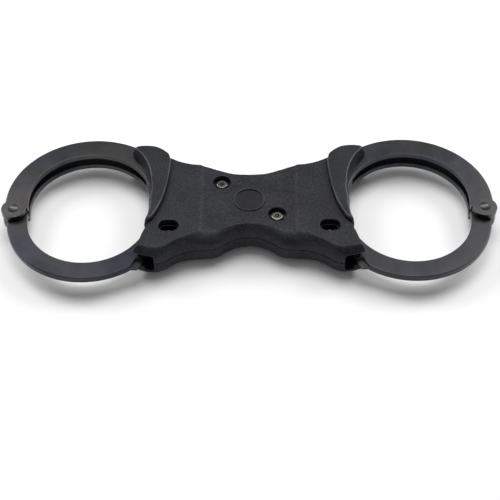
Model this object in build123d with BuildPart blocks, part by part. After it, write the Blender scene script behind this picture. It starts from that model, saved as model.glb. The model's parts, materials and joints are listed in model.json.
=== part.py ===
"""Rigid handcuffs: two ratchet cuffs locked into one moulded grip.

Frame: +X right, +Y towards the closed cheeks (rear), +Z up, millimetres.
The origin is under the middle of the object, on the surface that it rests on.
Outlines are drawn in the row frame: X as above, Y measured from the line
through both cuff pivots, and heights measured from the joint between the shells.
Every piece of a cuff is made on the left, and the right one is its mirror image.
"""

import os
from math import atan2, cos, degrees, radians, sin

from build123d import *

# ---------------------------------------------------------------- driving dimensions
PIVOT_SPAN = 222.5  # between the two cuff pivots
HALF_HEIGHT = 10.5  # from the shell joint to the top of a hood
PLATE_IN = 2.0  # inner face of a cheek plate
PLATE_OUT = 4.5  # outer face of a cheek plate
ARM_HALF = 1.7  # half the thickness of a ratchet arm
RAIL_HALF = 0.5  # half the thickness of the smooth rail outside the teeth

CHEEK_OUTER_R = 40.1
CHEEK_OUTER_C = (-75.5, 6.0)
CHEEK_INNER_R = 29.0
CHEEK_INNER_C = (-76.0, 6.6)
LUG_R = 5.75

ARM_C = (-76.0, -2.5)
ARM_OUTER_R = 38.1
ARM_INNER_R = 28.8
EYE_R = 5.55
PIVOT_R = 2.0
RUNNING = 0.05  # radial play of a running fit
EDGE_R = 0.5  # rounding of the outer strand edges
INNER_EDGE_R = 0.3  # rounding of the edges round the wrist

RAIL_R = 69.3  # smooth rail, from the pivot
TIP_R = 67.6  # tooth tips, from the pivot
ROOT_R = 66.0  # tooth roots, from the pivot
SWEEP_R = 69.9  # everything inside this radius stays free for the arm
TOOTH_STEP = 2.0  # degrees
TOOTH_LEAN = 0.6  # degrees that the holding face of a tooth leans back, root to tip
TEETH_FROM = -26.0  # degrees, nearest the mouth
TEETH_TO = 18.0  # degrees, at the tip of the arm

PAWL_PIN = (-38.4, -3.2)
PAWL_PIN_R = 1.2
PAWL_BOSS_R = 2.5
PAWL_HALF = 1.7
PAWL_FORK = 0.8  # half the slot that the rail runs in
PAWL_FROM = 8.0  # degrees, first pawl tooth
PAWL_TEETH = 3
PAWL_BACK_X = -38.4

BAR_X = (-35.2, -32.7)  # double-lock bar, inner and outer side
BAR_Y = (6.0, 23.0)
BAR_LAND_X = -38.2
BAR_LAND_Y = (18.6, 21.6)
SPRING_STRIP = 0.35  # thickness of both leaf springs
PIN_BORE_R = 1.1  # access for the pin that sets the double lock

KEY_C = (-37.3, -14.3)
KEY_POST_R = 1.1
KEY_POST_TOP = 3.4
KEY_FOOT_R = 1.6
KEY_SLOT = (9.3, 6.6)  # in the shell
KEY_HOLE = (8.6, 5.8)  # in the cheek plate

CASE_RIVETS = [(-41.2, -21.8), (-27.2, -16.4), (-27.2, 18.0), (-40.6, 24.6), (-20.2, -12.4), (-20.2, 14.4)]
CASE_RIVET_R = 1.4
CORE_END_X = 24.2
PLATE_END_X = -16.0

TOP_MIDDLE = 7.2  # height of the middle of the grip
TOP_OUTER = 8.0  # height of its two ends
STEP_X = 22.6  # where the two heights meet
FRONT_EDGE_R = 2.0
REAR_EDGE_R = 1.2
HOOD_EDGE = 0.8  # chamfer round the hood tops
# the foot of the hood's flank, beside the wrist
HOOD_FOOT = [
    (-47.7, 11.5), (-48.4, 17.1), (-50.0, 22.5), (-53.3, 29.0), (-56.2, 32.8), (-56.4, 35.6),
]
BADGE_C = (0.0, 2.4)
BADGE_R = 7.3
BADGE_DEPTH = 1.3
SCREWS = [(-13.0, 14.0), (13.0, -6.8)]
SCREW_WELL_R = 4.25
SCREW_SEAT = 4.3  # height of the face under the screw head
SCREW_HEAD_R = 3.0
SCREW_HEAD_H = 1.7
SCREW_EDGE_R = 1.0  # rounding of the button head
SCREW_R = 1.5
SCREW_END = -5.8
INSERT_R = 2.6
INSERT_END = -6.2
HEX_ACROSS = 2.0

POCKET_PLAY = 0.1  # between the lock case and the shells

# ---------------------------------------------------------------- derived values
PIVOT = (-PIVOT_SPAN / 2, 0.0)
REAR_Y = CHEEK_OUTER_C[1] + CHEEK_OUTER_R
FRONT_Y = ARM_C[1] - ARM_OUTER_R
ROW_Y = -(REAR_Y + FRONT_Y) / 2
ARM_AXIS = degrees(atan2(ARM_C[1] - PIVOT[1], ARM_C[0] - PIVOT[0]))
STRIP_R = ((ARM_C[0] - PIVOT[0]) ** 2 + (ARM_C[1] - PIVOT[1]) ** 2) ** 0.5 + ARM_INNER_R
FAR = 200.0


def level(height):
    """The row frame's plane at a height above the shell joint."""
    return Plane((0, ROW_Y, HALF_HEIGHT + height))


def polar(radius, angle):
    """A point given by its radius and angle in degrees about the left cuff pivot."""
    return (PIVOT[0] + radius * cos(radians(angle)), PIVOT[1] + radius * sin(radians(angle)))


def sawtooth(root, tip, first, count):
    """Ratchet teeth about the pivot: a steep holding face, then a slope back down to the root."""
    points = []
    for k in range(count):
        start = first + k * TOOTH_STEP
        points.append(polar(root, start))
        points.append(polar(tip, start + TOOTH_LEAN))
    points.append(polar(root, first + count * TOOTH_STEP))
    return points


def label_and_write(piece, name):
    """Name a finished piece and write it as one STEP file."""
    piece.label = name
    export_step(piece, f"parts/{name}.step")


# ---------------------------------------------------------------- outlines of the lock case
def lock_outline():
    """The part of a cheek plate that lies in the grip, before the wrist opening is cut."""
    Polyline(
        (-49.2, -24.0),
        (-48.0, -11.0),
        (-56.0, -9.0),
        (-56.0, 22.0),
        (-47.0, 30.5),
        (-41.8, 27.8),
        (-38.0, 26.0),
        (-33.0, 24.4),
        (-27.0, 22.4),
        (-21.0, 20.6),
        (PLATE_END_X, 17.2),
        (PLATE_END_X, -14.5),
        (-21.0, -17.4),
        (-27.0, -19.2),
        (-33.0, -20.8),
        (-37.0, -23.2),
        (-41.0, -24.0),
        close=True,
    )


def cheek_sketch():
    """The outline of a cheek plate: crescent, pivot lug and lock side."""
    with BuildSketch() as outline:
        with Locations(CHEEK_OUTER_C):
            Circle(CHEEK_OUTER_R)
        with Locations((0, -FAR / 2)):
            Rectangle(2 * FAR, FAR, mode=Mode.SUBTRACT)
        with Locations(PIVOT):
            Circle(LUG_R)
        with BuildLine():
            lock_outline()
        make_face()
        with Locations(CHEEK_INNER_C):
            Circle(CHEEK_INNER_R, mode=Mode.SUBTRACT)
        with Locations(ARM_C):
            Circle(ARM_INNER_R, mode=Mode.SUBTRACT)
    return outline.sketch


# ---------------------------------------------------------------- cuff pieces, left
def make_cheek_plate(bottom, top, key_hole):
    """A stamped side plate of the cuff and of its lock case."""
    outline = cheek_sketch()
    with BuildPart() as plate:
        with BuildSketch(level(bottom)):
            add(outline)
            if key_hole:
                with Locations(KEY_C):
                    SlotOverall(KEY_HOLE[0], KEY_HOLE[1], mode=Mode.SUBTRACT)
            else:
                with Locations(KEY_C):
                    Circle(KEY_FOOT_R, mode=Mode.SUBTRACT)
            with Locations(PIVOT):
                Circle(PIVOT_R, mode=Mode.SUBTRACT)
            with Locations(PAWL_PIN):
                Circle(PAWL_PIN_R, mode=Mode.SUBTRACT)
            with Locations(*CASE_RIVETS):
                Circle(CASE_RIVET_R, mode=Mode.SUBTRACT)
        extrude(amount=top - bottom)
        strand = plate.edges().filter_by(GeomType.CIRCLE)
        outer = strand.filter_by(lambda edge: abs(edge.radius - CHEEK_OUTER_R) < 0.01)
        inner = strand.filter_by(lambda edge: abs(edge.radius - CHEEK_INNER_R) < 0.01)
        fillet(outer, EDGE_R)
        fillet(inner, INNER_EDGE_R)
    return plate.part


def make_pivot_rivet():
    """The domed rivet that the ratchet arm turns on."""
    head_r = 2.6
    head_h = 1.2
    dome_r = (head_r**2 + head_h**2) / (2 * head_h)
    with BuildPart() as rivet:
        with BuildSketch(Plane((PIVOT[0], ROW_Y, HALF_HEIGHT), x_dir=(1, 0, 0), z_dir=(0, -1, 0))):
            with BuildLine():
                Polyline((0, PLATE_OUT + head_h), (0, 0), (PIVOT_R, 0), (PIVOT_R, PLATE_OUT))
                Line((PIVOT_R, PLATE_OUT), (head_r, PLATE_OUT))
                RadiusArc((head_r, PLATE_OUT), (0, PLATE_OUT + head_h), -dome_r)
            make_face()
        revolve(axis=Axis((PIVOT[0], ROW_Y, 0), (0, 0, 1)))
        mirror(about=level(0))
    return rivet.part


def arm_blank(outer_r):
    """The ratchet arm in plan, out to a radius from the pivot."""
    with BuildSketch() as blank:
        with Locations(ARM_C):
            Circle(ARM_OUTER_R)
            Circle(ARM_INNER_R, mode=Mode.SUBTRACT)
        with Locations(PIVOT):
            Circle(outer_r, mode=Mode.INTERSECT)
        with Locations(Location((PIVOT[0], PIVOT[1], 0), (0, 0, ARM_AXIS))):
            Rectangle(FAR, FAR, align=(Align.CENTER, Align.MIN), mode=Mode.SUBTRACT)
        with BuildLine():
            RadiusArc(polar(STRIP_R, ARM_AXIS), polar(STRIP_R, TEETH_TO), -STRIP_R)
            Line(polar(STRIP_R, TEETH_TO), polar(outer_r, TEETH_TO))
            RadiusArc(polar(outer_r, TEETH_TO), polar(outer_r, ARM_AXIS), outer_r)
            Line(polar(outer_r, ARM_AXIS), polar(STRIP_R, ARM_AXIS))
        make_face()
        with Locations(PIVOT):
            Circle(EYE_R)
            Circle(PIVOT_R + RUNNING, mode=Mode.SUBTRACT)
    return blank.sketch


def make_ratchet_arm():
    """The swing-through arm: a thin smooth rail runs outside two rows of ratchet teeth."""
    tooth_count = round((TEETH_TO - TEETH_FROM) / TOOTH_STEP)
    tooth_seat = ROOT_R - 1.0
    rail_seat = RAIL_R - 6.0
    shoulder_from = -29.7
    shoulder_to = TEETH_FROM + 4.0
    shoulder_end = (polar(RAIL_R, shoulder_from)[0] - 5.0, polar(RAIL_R, shoulder_from)[1])
    body = arm_blank(ROOT_R)
    rail = arm_blank(RAIL_R)
    with BuildPart() as arm:
        with BuildSketch(level(-ARM_HALF)):
            add(body)
            with BuildLine():
                teeth = sawtooth(ROOT_R, TIP_R, TEETH_FROM, tooth_count)
                Polyline(*teeth)
                Line(teeth[-1], polar(tooth_seat, TEETH_TO))
                RadiusArc(polar(tooth_seat, TEETH_TO), polar(tooth_seat, TEETH_FROM), tooth_seat)
                Line(polar(tooth_seat, TEETH_FROM), teeth[0])
            make_face()
        extrude(amount=2 * ARM_HALF)
        strand = arm.edges().filter_by(GeomType.CIRCLE)
        outer = strand.filter_by(lambda edge: abs(edge.radius - ARM_OUTER_R) < 0.01)
        inner = strand.filter_by(lambda edge: abs(edge.radius - ARM_INNER_R) < 0.01)
        fillet(outer, EDGE_R)
        fillet(inner, INNER_EDGE_R)
        with BuildSketch(level(-RAIL_HALF)):
            add(rail)
            with BuildLine():
                Line(polar(RAIL_R, shoulder_from), polar(rail_seat, shoulder_from))
                Line(polar(rail_seat, shoulder_from), polar(rail_seat, shoulder_to))
                Line(polar(rail_seat, shoulder_to), polar(RAIL_R, shoulder_to))
                RadiusArc(polar(RAIL_R, shoulder_to), polar(RAIL_R, shoulder_from), RAIL_R)
            make_face()
            with BuildLine():
                Polyline(polar(RAIL_R, shoulder_from), shoulder_end)
                Polyline(shoulder_end, polar(rail_seat, shoulder_from), polar(RAIL_R, shoulder_from))
            make_face()
        extrude(amount=2 * RAIL_HALF)
    return arm.part


def make_lock_frame():
    """The C-shaped spacer between the cheek plates, round the lock."""
    bar_middle = (BAR_X[0] + BAR_X[1]) / 2
    side_play = 0.15
    slot = (BAR_X[1] - BAR_X[0] + 2 * side_play, 3.0)
    stop = (4.0, 2.5)
    with BuildPart() as frame:
        with BuildSketch(level(-PLATE_IN)):
            with BuildLine():
                Polyline(
                    (-48.6, -24.0),
                    (-48.6, 34.6),
                    (-47.0, 33.4),
                    (-41.8, 27.8),
                    (-38.0, 26.0),
                    (-33.0, 24.4),
                    (-27.0, 22.4),
                    (-CORE_END_X, 21.5),
                    (-CORE_END_X, -18.3),
                    (-27.0, -19.2),
                    (-33.0, -20.8),
                    (-37.0, -23.2),
                    (-41.0, -24.0),
                    close=True,
                )
            make_face()
            with Locations(PIVOT):
                Circle(SWEEP_R, mode=Mode.SUBTRACT)
            with BuildLine():
                Polyline(
                    (-48.0, -19.5),
                    (-31.5, -19.5),
                    (-29.5, -17.5),
                    (-29.5, 17.8),
                    (BAR_X[1] + side_play, 17.8),
                    (BAR_X[1] + side_play, 21.9),
                    (-38.8, 21.9),
                    (-41.4, 20.6),
                    (-48.0, 20.6),
                    close=True,
                )
            make_face(mode=Mode.SUBTRACT)
            with Locations((bar_middle, BAR_Y[1] + 0.3)):
                Rectangle(slot[0], slot[1], align=(Align.CENTER, Align.MAX), mode=Mode.SUBTRACT)
            with Locations((BAR_X[1] + side_play, 1.0)):
                Rectangle(stop[0], stop[1], align=(Align.MIN, Align.MIN))
            with Locations(*CASE_RIVETS[:4]):
                Circle(CASE_RIVET_R, mode=Mode.SUBTRACT)
        extrude(amount=2 * PLATE_IN)
        with BuildSketch(Plane((bar_middle, 0, HALF_HEIGHT), x_dir=(-1, 0, 0), z_dir=(0, 1, 0))):
            Circle(PIN_BORE_R)
        extrude(amount=FAR, mode=Mode.SUBTRACT)
    return frame.part


def make_pawl():
    """The rocking pawl: three teeth at the rear, and a tail that the key bit presses."""
    tooth_play = 0.25
    side_play = 0.2
    inner_r = SWEEP_R - 0.1
    first = PAWL_FROM - side_play
    last = first + PAWL_TEETH * TOOTH_STEP
    teeth = sawtooth(ROOT_R + tooth_play, TIP_R + tooth_play, first, PAWL_TEETH)
    with BuildPart() as pawl:
        with BuildSketch(level(-PAWL_HALF)):
            with BuildLine():
                Polyline(*teeth[1:], polar(inner_r, last), (PAWL_BACK_X, 17.9))
                Polyline((PAWL_BACK_X, 17.9), (PAWL_BACK_X, 7.5), (-36.6, 0.0), (-36.6, -5.0))
                Polyline((-36.6, -5.0), polar(72.7, -9.4), polar(71.4, -9.4), polar(70.6, -2.5))
                Polyline(polar(70.6, -2.5), polar(inner_r, 5.6), teeth[1])
            make_face()
            with Locations(PAWL_PIN):
                Circle(PAWL_BOSS_R)
                Circle(PAWL_PIN_R + RUNNING, mode=Mode.SUBTRACT)
        extrude(amount=2 * PAWL_HALF)
        with BuildSketch(level(-PAWL_FORK)):
            with Locations(PIVOT):
                Circle(SWEEP_R)
        extrude(amount=2 * PAWL_FORK, mode=Mode.SUBTRACT)
    return pawl.part


def make_pin(centre, radius, bottom, top):
    """A plain pin along Z."""
    with BuildPart() as pin:
        with BuildSketch(level(bottom)):
            with Locations(centre):
                Circle(radius)
        extrude(amount=top - bottom)
    return pin.part


def make_key_post():
    """The post that a hollow key slips over, with its foot staked into the lower cheek plate."""
    with BuildPart() as post:
        with BuildSketch(level(-PLATE_OUT)):
            with Locations(KEY_C):
                Circle(KEY_FOOT_R)
        extrude(amount=PLATE_OUT - PLATE_IN)
        with BuildSketch(level(-PLATE_IN)):
            with Locations(KEY_C):
                Circle(KEY_POST_R)
        extrude(amount=KEY_POST_TOP + PLATE_IN)
        chamfer(post.faces().sort_by(Axis.Z)[-1].edges(), 0.3)
    return post.part


def make_strip(points, thickness, half_height):
    """A bent strip of spring steel through plan points."""
    with BuildPart() as strip:
        with BuildSketch(level(-half_height)):
            with BuildLine():
                FilletPolyline(*points, radius=1.5)
            trace(line_width=thickness)
        extrude(amount=2 * half_height)
    return strip.part


def make_pawl_spring():
    """The folded leaf that presses the pawl into the teeth."""
    path = [(-29.7, -3.4), (-33.6, -2.4), (-35.6, 0.6), (-37.75, 8.0), (-38.1, 10.8)]
    return make_strip(path, SPRING_STRIP, 0.7)


def make_double_lock_bar():
    """The sliding bar whose land blocks the back of the pawl."""
    with BuildPart() as bar:
        with BuildSketch(level(-ARM_HALF)):
            with BuildLine():
                Polyline(
                    (BAR_X[0], BAR_Y[0]),
                    (BAR_X[1], BAR_Y[0]),
                    (BAR_X[1], BAR_Y[1]),
                    (BAR_X[0], BAR_Y[1]),
                    (BAR_X[0], BAR_LAND_Y[1]),
                    (BAR_LAND_X, BAR_LAND_Y[1]),
                    (BAR_LAND_X, BAR_LAND_Y[0]),
                    (BAR_X[0], BAR_LAND_Y[0]),
                    close=True,
                )
            make_face()
        extrude(amount=2 * ARM_HALF)
    return bar.part


def make_double_lock_spring():
    """The bowed leaf that holds the bar where it was pushed."""
    path = [(-29.8, 4.2), (-30.5, 6.0), (-32.3, 10.6), (-30.5, 15.2), (-29.8, 17.0)]
    return make_strip(path, SPRING_STRIP, 1.2)


def make_case_rivets():
    """The six flush rivets of one lock case."""
    with BuildPart() as rivets:
        with BuildSketch(level(-PLATE_OUT)):
            with Locations(*CASE_RIVETS):
                Circle(CASE_RIVET_R)
        extrude(amount=2 * PLATE_OUT)
    return rivets.part


# ---------------------------------------------------------------- grip
def grip_half_outline():
    """The left half of the grip in plan, at the shell joint."""
    Spline((0, -15.2), (-5.0, -16.0), (-10.0, -18.5), (-15.5, -22.3), tangents=((-1, 0), (-1, -0.3)))
    Spline((-15.5, -22.3), (-25.0, -23.2), (-34.0, -26.4), (-40.0, -31.0), tangents=((-1, -0.3), (-1, -0.5)))
    Polyline((-40.0, -31.0), (-46.6, -31.0), (-52.8, -28.6), (-51.4, -25.5), (-48.0, -11.0), (-62.0, -9.0))
    Polyline((-62.0, -9.0), (-62.0, 10.0), HOOD_FOOT[0])
    Spline(*HOOD_FOOT)
    Spline(HOOD_FOOT[-1], (-50.0, 36.6), (-45.0, 35.6), (-41.0, 32.6), (-39.0, 31.0))
    Spline((-39.0, 31.0), (-33.0, 27.9), (-27.0, 26.0), (-22.0, 25.4))
    Spline((-22.0, 25.4), (-15.0, 22.7), (-8.0, 20.2), (0, 19.6), tangents=((1, -0.3), (1, 0)))
    Line((0, 19.6), (0, -15.2))


def hood_outline():
    """The raised comma over the cheek plates, left, before the wrist opening is cut."""
    Polyline((-62.0, -9.0), (-62.0, 10.0), HOOD_FOOT[0])
    Spline(*HOOD_FOOT)
    Spline(
        HOOD_FOOT[-1],
        (-50.0, 36.1),
        (-45.2, 34.9),
        (-40.6, 30.8),
        (-38.1, 23.0),
        (-38.6, 11.0),
        (-41.4, -1.5),
        (-47.0, -11.6),
    )
    Line((-47.0, -11.6), (-62.0, -9.0))


def wrist_cut():
    """Cut the left wrist opening out of the sketch that is being made."""
    with Locations(CHEEK_INNER_C):
        Circle(CHEEK_INNER_R, mode=Mode.SUBTRACT)
    with Locations(ARM_C):
        Circle(ARM_INNER_R, mode=Mode.SUBTRACT)


def grip_sketch():
    """The whole grip in plan."""
    with BuildSketch() as plan:
        with BuildLine():
            grip_half_outline()
        make_face()
        wrist_cut()
        mirror(about=Plane.YZ)
    return plan.sketch


def hood_sketch():
    """Both hoods in plan."""
    with BuildSketch() as plan:
        with BuildLine():
            hood_outline()
        make_face()
        wrist_cut()
        mirror(about=Plane.YZ)
    return plan.sketch


def case_sketch():
    """Both lock cases and both arm mouths in plan."""
    outline = cheek_sketch()
    with BuildSketch() as plan:
        add(outline)
        offset(amount=POCKET_PLAY, kind=Kind.INTERSECTION)
        with BuildLine():
            Polyline((-44.0, -20.0), (-43.6, -34.0), (-66.0, -34.0), (-60.0, -12.0), close=True)
        make_face()
        mirror(about=Plane.YZ)
    return plan.sketch


def core_outline():
    """The steel spine between the two lock cases."""
    Polyline(
        (-CORE_END_X, -16.0),
        (-15.0, -15.0),
        (-9.0, -12.5),
        (9.0, -12.5),
        (15.0, -15.0),
        (CORE_END_X, -16.0),
        (CORE_END_X, 18.0),
        (15.0, 18.0),
        (8.0, 16.2),
        (-8.0, 16.2),
        (-15.0, 18.0),
        (-CORE_END_X, 18.0),
        close=True,
    )


def make_core_plate():
    """The steel spine that ties the two lock cases together."""
    rivets = [(x, y) for x, y in CASE_RIVETS if x > -CORE_END_X]
    with BuildPart() as core:
        with BuildSketch(level(-PLATE_IN)):
            with BuildLine():
                core_outline()
            make_face()
            with Locations(*rivets, *[(-x, y) for x, y in rivets]):
                Circle(CASE_RIVET_R, mode=Mode.SUBTRACT)
            with Locations(*SCREWS):
                Circle(SCREW_R, mode=Mode.SUBTRACT)
        extrude(amount=2 * PLATE_IN)
    return core.part


def shell_blank():
    """The outside of the lower half of the grip."""
    grip = grip_sketch()
    hood = hood_sketch()
    with BuildPart() as blank:
        with BuildSketch(level(0)):
            add(grip)
        extrude(amount=-TOP_OUTER)
        rim = blank.faces().sort_by(Axis.Z)[0].edges()
        front = rim.filter_by(lambda edge: edge.center().Y < ROW_Y - 15 and abs(edge.center().X) < 38)
        fillet(front, FRONT_EDGE_R)
        rim = blank.faces().sort_by(Axis.Z)[0].edges()
        rear = rim.filter_by(lambda edge: edge.center().Y > ROW_Y + 15 and abs(edge.center().X) < 36)
        fillet(rear, REAR_EDGE_R)
        with BuildSketch(level(-TOP_MIDDLE)):
            Rectangle(2 * STEP_X, FAR)
        extrude(amount=-FAR, mode=Mode.SUBTRACT)
        with BuildSketch(level(0)):
            add(hood)
        extrude(amount=-HALF_HEIGHT)
        hood_tops = blank.faces().filter_by(Axis.Z).group_by(Axis.Z)[0]
        chamfer(hood_tops.edges(), HOOD_EDGE)
    return blank.part


def hollow_shell(side):
    """One half of the grip with room for the lock cases, the core plate, the arms and the lock pin."""
    blank = shell_blank()
    if side > 0:
        blank = mirror(blank, about=level(0))
    case = case_sketch()
    pin_x = (BAR_X[0] + BAR_X[1]) / 2
    with BuildPart() as shell:
        add(blank)
        with BuildSketch(level(0)):
            add(case)
        extrude(amount=side * PLATE_OUT, mode=Mode.SUBTRACT)
        with BuildSketch(level(0)):
            with Locations(PIVOT, (-PIVOT[0], PIVOT[1])):
                Circle(SWEEP_R)
            with BuildLine():
                core_outline()
            make_face()
        extrude(amount=side * PLATE_IN, mode=Mode.SUBTRACT)
        with BuildSketch(Plane((0, 0, HALF_HEIGHT), x_dir=(-1, 0, 0), z_dir=(0, 1, 0))):
            with Locations((pin_x, 0), (-pin_x, 0)):
                Circle(PIN_BORE_R)
        extrude(amount=FAR, mode=Mode.SUBTRACT)
    return shell.part


def make_upper_shell():
    """The upper shell, with the badge seat, the screw wells and the key slots."""
    hollow = hollow_shell(1)
    with BuildPart() as shell:
        add(hollow)
        with BuildSketch(level(TOP_MIDDLE - BADGE_DEPTH)):
            with Locations(BADGE_C):
                Circle(BADGE_R)
        extrude(amount=FAR, mode=Mode.SUBTRACT)
        with BuildSketch(level(SCREW_SEAT)):
            with Locations(*SCREWS):
                Circle(SCREW_WELL_R)
        extrude(amount=FAR, mode=Mode.SUBTRACT)
        with BuildSketch(level(0)):
            with Locations(*SCREWS):
                Circle(SCREW_R)
            with Locations(KEY_C, (-KEY_C[0], KEY_C[1])):
                SlotOverall(KEY_SLOT[0], KEY_SLOT[1])
        extrude(amount=FAR, mode=Mode.SUBTRACT)
    return shell.part


def make_lower_shell():
    """The lower shell, with the seats of the threaded inserts."""
    hollow = hollow_shell(-1)
    with BuildPart() as shell:
        add(hollow)
        with BuildSketch(level(INSERT_END)):
            with Locations(*SCREWS):
                Circle(INSERT_R)
        extrude(amount=-INSERT_END, mode=Mode.SUBTRACT)
    return shell.part


def make_badge_disc():
    """The blank dished disc in the middle of the upper shell."""
    rim = 0.5
    dish = 0.3
    with BuildPart() as badge:
        with BuildSketch(level(TOP_MIDDLE - BADGE_DEPTH)):
            with Locations(BADGE_C):
                Circle(BADGE_R)
        extrude(amount=BADGE_DEPTH + dish)
        with BuildSketch(level(TOP_MIDDLE - dish)):
            with Locations(BADGE_C):
                Circle(BADGE_R - rim)
        extrude(amount=FAR, mode=Mode.SUBTRACT)
    return badge.part


def make_clamp_screws():
    """The two button-head screws that clamp the shells, with pin-in-hexagon sockets."""
    socket_depth = 1.1
    with BuildPart() as screws:
        with BuildSketch(level(SCREW_SEAT)):
            with Locations(*SCREWS):
                Circle(SCREW_HEAD_R)
        extrude(amount=SCREW_HEAD_H)
        tops = screws.faces().sort_by(Axis.Z)[-2:]
        fillet(tops.edges(), SCREW_EDGE_R)
        with BuildSketch(level(SCREW_SEAT + SCREW_HEAD_H)):
            with Locations(*SCREWS):
                RegularPolygon(HEX_ACROSS / 2, 6, major_radius=False)
                Circle(0.4, mode=Mode.SUBTRACT)
        extrude(amount=-socket_depth, mode=Mode.SUBTRACT)
        with BuildSketch(level(SCREW_END)):
            with Locations(*SCREWS):
                Circle(SCREW_R)
        extrude(amount=SCREW_SEAT - SCREW_END)
    return screws.part


def make_threaded_inserts():
    """The two brass inserts that the screws turn into."""
    with BuildPart() as inserts:
        with BuildSketch(level(INSERT_END)):
            with Locations(*SCREWS):
                Circle(INSERT_R)
                Circle(SCREW_R, mode=Mode.SUBTRACT)
        extrude(amount=-PLATE_IN - INSERT_END)
    return inserts.part


# ---------------------------------------------------------------- writing the pieces
os.makedirs("parts", exist_ok=True)

cuff_pieces = {
    "cheek_plate_upper": make_cheek_plate(PLATE_IN, PLATE_OUT, True),
    "cheek_plate_lower": make_cheek_plate(-PLATE_OUT, -PLATE_IN, False),
    "pivot_rivet": make_pivot_rivet(),
    "ratchet_arm": make_ratchet_arm(),
    "lock_frame": make_lock_frame(),
    "pawl": make_pawl(),
    "pawl_pin": make_pin(PAWL_PIN, PAWL_PIN_R, -PLATE_OUT, PLATE_OUT),
    "pawl_spring": make_pawl_spring(),
    "double_lock_bar": make_double_lock_bar(),
    "double_lock_spring": make_double_lock_spring(),
    "key_post": make_key_post(),
    "case_rivets": make_case_rivets(),
}
for name, piece in cuff_pieces.items():
    label_and_write(piece, f"left_{name}")
    label_and_write(mirror(piece, about=Plane.YZ), f"right_{name}")

grip_pieces = {
    "grip_upper_shell": make_upper_shell(),
    "grip_lower_shell": make_lower_shell(),
    "badge_disc": make_badge_disc(),
    "clamp_screws": make_clamp_screws(),
    "threaded_inserts": make_threaded_inserts(),
    "core_plate": make_core_plate(),
}
for name, piece in grip_pieces.items():
    label_and_write(piece, name)
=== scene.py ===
# %% [markdown]
# # Rigid handcuffs
# Two swing-through cuffs are locked into one moulded grip. The metal pieces come ready from
# the fixed frame. This lesson gives them their finishes, and builds the two soft-edged
# plastic shells of the grip as surfaces worked out with numpy.

# %% Load the frame
import json
import math

import bmesh
import bpy
import numpy as np
from mathutils import Matrix


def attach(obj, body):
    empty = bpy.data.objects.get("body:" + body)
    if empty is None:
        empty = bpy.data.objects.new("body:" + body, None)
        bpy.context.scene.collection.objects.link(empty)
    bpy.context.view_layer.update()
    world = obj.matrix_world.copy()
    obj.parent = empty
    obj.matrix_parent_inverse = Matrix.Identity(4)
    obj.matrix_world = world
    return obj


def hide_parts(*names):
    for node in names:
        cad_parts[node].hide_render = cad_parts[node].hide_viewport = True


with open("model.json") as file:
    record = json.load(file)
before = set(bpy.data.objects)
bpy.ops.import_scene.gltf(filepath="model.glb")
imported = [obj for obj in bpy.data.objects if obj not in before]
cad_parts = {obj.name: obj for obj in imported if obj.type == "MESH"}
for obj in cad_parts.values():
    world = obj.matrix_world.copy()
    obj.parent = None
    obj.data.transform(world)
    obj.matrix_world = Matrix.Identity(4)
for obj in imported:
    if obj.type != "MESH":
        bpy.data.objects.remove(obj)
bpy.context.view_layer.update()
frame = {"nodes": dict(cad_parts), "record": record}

MM = 0.001
HALF_HEIGHT = 10.5
ROW_SHIFT = -2.75

# %% [markdown]
# ## Camera
# A catalogue picture of handcuffs is taken with a long lens from above and in front, so
# that both rings show as ellipses. The camera is set first, because every finish is judged
# through it. Its place is given in millimetres and turned to metres.

# %% Camera
CAMERA_AT = (0.0, -353.59, 387.85)
CAMERA_TILT = 41.0
CAMERA_ROLL = -0.25
LENS = 78.09
SIDE_SHIFT = 0.0012

camera_data = bpy.data.cameras.new("camera")
camera_data.lens = LENS
camera_data.sensor_width = 36.0
camera_data.shift_x = SIDE_SHIFT
camera_data.clip_start = 0.01
camera = bpy.data.objects.new("camera", camera_data)
camera.location = [value * MM for value in CAMERA_AT]
tilt = Matrix.Rotation(math.radians(CAMERA_TILT), 3, "X")
roll = Matrix.Rotation(math.radians(CAMERA_ROLL), 3, "Z")
camera.rotation_euler = (tilt @ roll).to_euler()
bpy.context.scene.collection.objects.link(camera)
bpy.context.scene.camera = camera
bpy.context.scene.view_settings.view_transform = "Standard"
print("camera", CAMERA_AT, "tilt", CAMERA_TILT, "lens", LENS)

# %% [markdown]
# ## Colours and nodes
# A colour is written as the hex value that a paint chart gives, which is an sRGB value.
# Blender mixes light in linear values, so one function converts them. A second small
# function adds any node with its settings and its links.


# %% Colour and node helpers
def linear(hex_code):
    """sRGB hex to linear: each channel c becomes c/12.92, or ((c+0.055)/1.055)^2.4 above 0.04045."""
    parts = [int(hex_code[k : k + 2], 16) / 255 for k in (1, 3, 5)]
    return [c / 12.92 if c <= 0.04045 else ((c + 0.055) / 1.055) ** 2.4 for c in parts] + [1.0]


def node(tree, kind, inputs=None, **settings):
    """Add one shader node. Settings go on the node; inputs are values or sockets to link."""
    made = tree.nodes.new("ShaderNode" + kind)
    for name, value in settings.items():
        setattr(made, name, value)
    for socket, value in (inputs or {}).items():
        if isinstance(value, bpy.types.NodeSocket):
            tree.links.new(value, made.inputs[socket])
        else:
            made.inputs[socket].default_value = value
    return made


def per_mm(size):
    """Texture scale whose features are about `size` millimetres across, on metre coordinates."""
    return 1000.0 / size


def new_material(name):
    """An empty material with its tree, its output and the object coordinates."""
    material = bpy.data.materials.new(name)
    material.use_nodes = True
    tree = material.node_tree
    tree.nodes.clear()
    output = node(tree, "OutputMaterial")
    coords = node(tree, "TexCoord").outputs["Object"]
    return material, tree, output, coords


def close_material(material, tree, output, shader):
    """Link the shader to the output and report the node count."""
    tree.links.new(shader.outputs["BSDF"], output.inputs["Surface"])
    print("material", material.name, "nodes", len(tree.nodes))
    return material


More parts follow.
